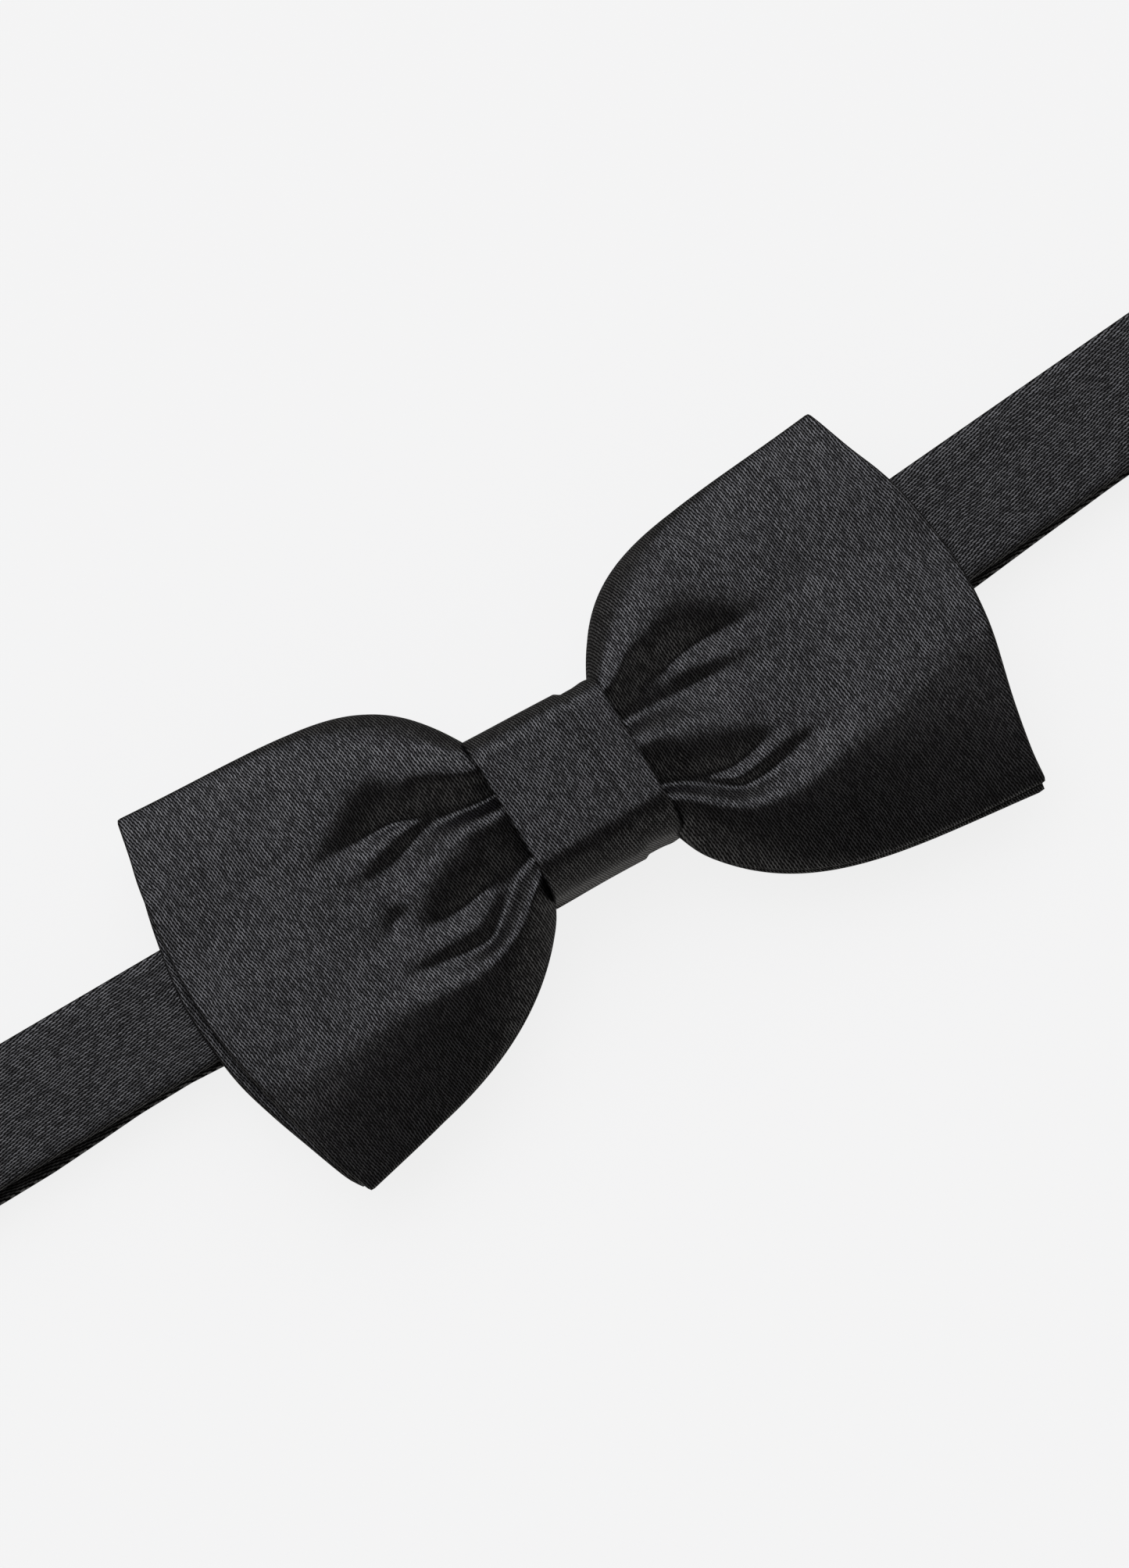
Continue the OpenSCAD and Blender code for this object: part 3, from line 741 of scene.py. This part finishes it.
# the left end goes round the ring's bar, comes down on itself and is tacked there
end_down = curve_through([(RING_X, BAR_Z + BAR_TURN), (49.4, 3.26), (51.0, 2.7), (52.4, 1.85), (53.5, 1.55),
                          (54.8, 1.5), (STRAP_END, 1.52)], 36)
left_loop = ribbon("ring_loop", np.vstack([straight(left_inner, RING_X, LOW, 6)[:-1],
                                           bar_turn(RING_X, BAR_Z, BAR_TURN, -1), end_down[1:]]), -1)
# the right end runs inwards, round the bar of the hook, and back out to the middle bar of the adjuster
slack = ribbon("hook_run", np.vstack([straight(SLACK_END, HOOK_X, LOW, 60)[:-1],
                                      bar_turn(HOOK_X, BAR_Z, BAR_TURN, -1),
                                      straight(HOOK_X, LOOP_END, 2 * BAR_Z - LOW, 6)[1:]]), 1)
over_bar = curve_through([(LOOP_END, 3.3), (-21.0, 3.3), (-17.6, 3.3), (-16.2, 3.2), (-15.0, 3.07),
                          (ADJUSTER_BAR_X, 3.05)], 40)
adjuster_run = np.vstack([over_bar[:-1], bar_turn(ADJUSTER_BAR_X, 2.25, 0.8, 1)[::-1],
                          straight(ADJUSTER_BAR_X, RETURN_END, 1.45, 8)[1:]])
# the band is pressed thinner from the adjuster's frame on, round the bar and under it
outer_x = np.concatenate([adjuster_run[:40, 0], np.zeros(len(adjuster_run) - 40)])
thinning = 1.0 - 0.5 * smooth(outer_x, -17.8, -15.4)
returned = ribbon("adjuster_run", adjuster_run, 1, thickness=thinning)


# ---- gathered middle and threads ----

def tube(points, radius, start, sides=8):
    """Points and faces of a round thread along points; its own points are numbered from start."""
    points = np.asarray(points, float)
    tangent = np.gradient(points, axis=0)
    tangent /= np.linalg.norm(tangent, axis=1, keepdims=True)
    across = np.cross(tangent, [0.3, 0.2, 0.93])
    across /= np.linalg.norm(across, axis=1, keepdims=True)
    up = np.cross(across, tangent)
    turn = np.linspace(0, 2 * math.pi, sides, endpoint=False)
    size = np.full(len(points), radius)
    size[0] = size[-1] = radius * 0.5
    ring = across[:, None] * np.cos(turn)[None, :, None] + up[:, None] * np.sin(turn)[None, :, None]
    rings = points[:, None] + ring * size[:, None, None]
    faces = grid_faces(len(points), sides, start, wrap=True)
    faces.append(tuple(start + i for i in range(sides)))
    faces.append(tuple(start + (len(points) - 1) * sides + i for i in reversed(range(sides))))
    return rings.reshape(-1, 3), faces


def threads(name, lines, radius):
    """One piece of several threads."""
    points, faces, count = [], [], 0
    for line in lines:
        more, quads = tube(line, radius, count)
        points.append(more)
        faces += quads
        count += len(more)
    return make_mesh(name, np.concatenate(points), faces)


BUNDLE_SIDES = 240


def bundle_outline(x):
    """The gathered cloth inside the knot, seen along the bow: a flattened round with pleats, pinched by a
    thread."""
    low, high = box_mm("back_waist")[0], box_mm("front_waist")[1]
    middle, half = (low + high)[1:] / 2, (high - low)[1:] / 2 - 0.3
    a = np.linspace(0, 2 * math.pi, BUNDLE_SIDES, endpoint=False)
    pinch = 1 - 0.07 * math.exp(-(x / 2.2) ** 2)
    pleat = 1 + 0.035 * np.sin(a * 17) + 0.02 * np.sin(a * 29 + 1.3)
    c, s = np.cos(a), np.sin(a)
    return np.stack([middle[0] + half[0] * pinch * pleat * np.sign(c) * np.abs(c) ** 0.72,
                     middle[1] + half[1] * pinch * pleat * np.sign(s) * np.abs(s) ** 0.72], axis=1)


def bundle(name):
    """The gathered waist, from wing to wing inside the knot."""
    xs = np.linspace(-9.2, 9.2, 40)
    points = np.concatenate([np.column_stack([np.full(BUNDLE_SIDES, x), bundle_outline(x)]) for x in xs])
    faces = grid_faces(len(xs), BUNDLE_SIDES, wrap=True)
    faces.append(tuple(range(BUNDLE_SIDES)))
    faces.append(tuple((len(xs) - 1) * BUNDLE_SIDES + i for i in reversed(range(BUNDLE_SIDES))))
    around = np.tile(np.arange(BUNDLE_SIDES) * 0.25, len(xs))
    return make_mesh(name, points, faces, np.column_stack([points[:, 0], around]))


gathers = bundle("waist_gathers")
winding = []
for x0 in (-1.2, 1.2):
    loop = bundle_outline(x0)
    out = loop - loop.mean(axis=0)
    loop = loop + out / np.linalg.norm(out, axis=1, keepdims=True) * 0.15
    loop = np.vstack([loop, loop[:2]])
    winding.append(np.column_stack([x0 + np.linspace(-0.25, 0.25, len(loop)), loop]))
gather_thread = threads("waist_thread", winding, 0.2)

seam_y, seam_z = BAND_Y - 5.7, knot_low[2]
closing = threads("seam_stitches", [
    curve_through([(x - 1.1, seam_y + 0.35, seam_z + 0.25), (x - 0.8, seam_y + 0.3, seam_z - 0.02),
                   (x, seam_y, seam_z - 0.06), (x + 0.8, seam_y - 0.3, seam_z - 0.02),
                   (x + 1.1, seam_y - 0.35, seam_z + 0.25)], 12)
    for x in (-8, -6, -4, -2, 0, 2, 4, 6, 8)], 0.13)

zigzag = [(-53.6 - 1.2 * (k % 2), BAND_Y - 5.9 + 11.8 * k / 46, 2.1) for k in range(47)]
bar_tack = threads("end_tack", [zigzag], 0.17)


# ---- satin for the pieces, the CAD parts they replace hidden, and the bodies that some of them move with ----

for piece in (right_front, left_front, right_back, left_back, knot, left_half, right_half, left_loop, slack,
              returned, gathers):
    dress(piece, SATIN)

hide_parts("right_front_face", "right_front_interlining", "right_front_lining")
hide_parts("left_front_face", "left_front_interlining", "left_front_lining")
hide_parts("right_back_face", "right_back_interlining", "right_back_lining")
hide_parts("left_back_face", "left_back_interlining", "left_back_lining")
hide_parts("knot_wrap", "knot_interlining")
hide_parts("front_strap_cover", "front_strap_interlining", "left_fold", "left_strap_cover",
            "left_strap_interlining")
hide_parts("right_fold", "right_strap_cover", "right_strap_interlining")
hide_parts("left_end_loop")
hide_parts("right_strap_slack", "hook_loop")
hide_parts("adjuster_return", "adjuster_end_loop")
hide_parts("front_waist", "back_waist")
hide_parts("gathering_thread")
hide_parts("knot_closing_stitches")
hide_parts("left_bar_tack")

for piece in (knot, gathers, gather_thread, closing):
    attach(piece, "bow")
for piece in (left_loop, bar_tack):
    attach(piece, "left_band")
for wing, body, side in ((right_front, "right_wing", 1), (right_back, "right_wing", 1),
                         (left_front, "left_wing", -1), (left_back, "left_wing", -1)):
    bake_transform(wing)
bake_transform(left_half)
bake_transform(right_half)


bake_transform(slack)
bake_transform(returned)


# ---- threads and carried-over CAD nodes ----

def plain(name, colour, roughness, metallic=0.0):
    """One colour with a fine speckle."""
    material, tree, shader = new_material(name)
    g = Graph(tree)
    coordinates = tree.nodes.new("ShaderNodeTexCoord")
    speckle = g.noise(coordinates.outputs["Object"], 900.0, 3.0)
    dark, light = tuple(c * 0.8 for c in colour), tuple(min(1, c * 1.15) for c in colour)
    tree.links.new(g.mix_colour(speckle, dark, light), shader.inputs["Base Color"])
    tree.links.new(g.math("MULTIPLY_ADD", speckle, 0.15, roughness), shader.inputs["Roughness"])
    shader.inputs["Metallic"].default_value = metallic
    return material


THREAD = plain("thread", (0.01, 0.01, 0.012), 0.6)
for piece in (gather_thread, closing, bar_tack):
    dress(piece, THREAD)
METAL = plain("clasp_metal", (0.62, 0.62, 0.64), 0.22, 1.0)
for node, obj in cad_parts.items():
    if not obj.hide_render:
        dress(obj, METAL if node in ("eye_ring", "hook", "adjuster") else THREAD)


# ---- stage, light and camera ----

def stage_floor():
    """A plain pale floor, lit by itself, that throws no light on the part."""
    material, tree, shader = new_material("floor")
    shader.inputs["Base Color"].default_value = (0.12, 0.12, 0.12, 1)
    shader.inputs["Roughness"].default_value = 0.9
    shader.inputs["Emission Color"].default_value = (1, 1, 1, 1)
    shader.inputs["Emission Strength"].default_value = 0.835
    reach = 3000.0
    floor = make_mesh("floor", [(-reach, -reach, -0.05), (reach, -reach, -0.05), (reach, reach, -0.05),
                                (-reach, reach, -0.05)], [(0, 1, 2, 3)])
    dress(floor, material)
    floor.visible_glossy = False
    floor.visible_diffuse = False


def softbox(name, place, size, power):
    """A rectangular lamp at place, in metres, aimed at the origin."""
    light = bpy.data.lights.new(name, "AREA")
    light.shape = "RECTANGLE"
    light.size, light.size_y = size
    light.energy = power
    obj = bpy.data.objects.new(name, light)
    obj.location = place
    bpy.context.scene.collection.objects.link(obj)
    obj.rotation_euler = (-obj.location).to_track_quat("-Z", "Y").to_euler()


def camera():
    """Nearly straight down on the front of the bow, turned so that the bow slopes up to the right."""
    azimuth, elevation, distance = math.radians(31.1), math.radians(79.5), 1.6
    look = np.array([-0.3, 3.87, 8.0]) * MM
    view_height = 0.2117  # metres of the scene that the picture is high, at the bow
    away = np.array([-math.sin(azimuth) * math.cos(elevation), -math.cos(azimuth) * math.cos(elevation),
                     math.sin(elevation)])
    data = bpy.data.cameras.new("camera")
    obj = bpy.data.objects.new("camera", data)
    obj.location = look + away * distance
    obj.rotation_euler = Vector(-away).to_track_quat("-Z", "Y").to_euler()
    data.sensor_fit = "VERTICAL"
    data.sensor_height = 24.0
    data.lens = data.sensor_height * distance / view_height
    data.clip_start = 0.01
    bpy.context.scene.collection.objects.link(obj)
    bpy.context.scene.camera = obj


def studio_world():
    """A broad soft light past the top of the bow, and a dim glow round the horizon."""
    world = bpy.data.worlds.new("studio")
    world.use_nodes = True
    tree = world.node_tree
    g = Graph(tree)
    background = tree.nodes["Background"]
    where = tree.nodes.new("ShaderNodeTexCoord")
    towards = tree.nodes.new("ShaderNodeVectorMath")
    towards.operation = "DOT_PRODUCT"
    tree.links.new(where.outputs["Generated"], towards.inputs[0])
    towards.inputs[1].default_value = (-0.05, 0.865, 0.499)
    direction = tree.nodes.new("ShaderNodeSeparateXYZ")
    tree.links.new(where.outputs["Generated"], direction.inputs[0])
    key = g.ramp(towards.outputs["Value"], 0.38, 0.62, 0.085, 1.03)
    key = g.math("MULTIPLY", key, g.ramp(direction.outputs[2], 0.15, 0.6, 0.15, 1.0))
    # the horizon glow is brighter on the near side, below the bow
    horizon = g.ramp(direction.outputs[2], 0.85, 0.35, 0.0, 0.31)
    horizon = g.math("MULTIPLY", horizon, g.ramp(direction.outputs[1], 0.2, -0.3, 0.5, 1.0))
    glow = g.math("ADD", key, horizon)
    warm, cool = (1.0, 0.97, 0.92), (0.95, 0.955, 1.03)
    tree.links.new(g.mix_colour(g.ramp(glow, 0.1, 1.0), warm, cool), background.inputs["Color"])
    tree.links.new(glow, background.inputs["Strength"])
    bpy.context.scene.world = world


stage_floor()
studio_world()
softbox("key", (-0.1, 0.78, 1.15), (0.9, 0.6), 0.6)
camera()
bpy.context.scene.view_settings.view_transform = "Standard"
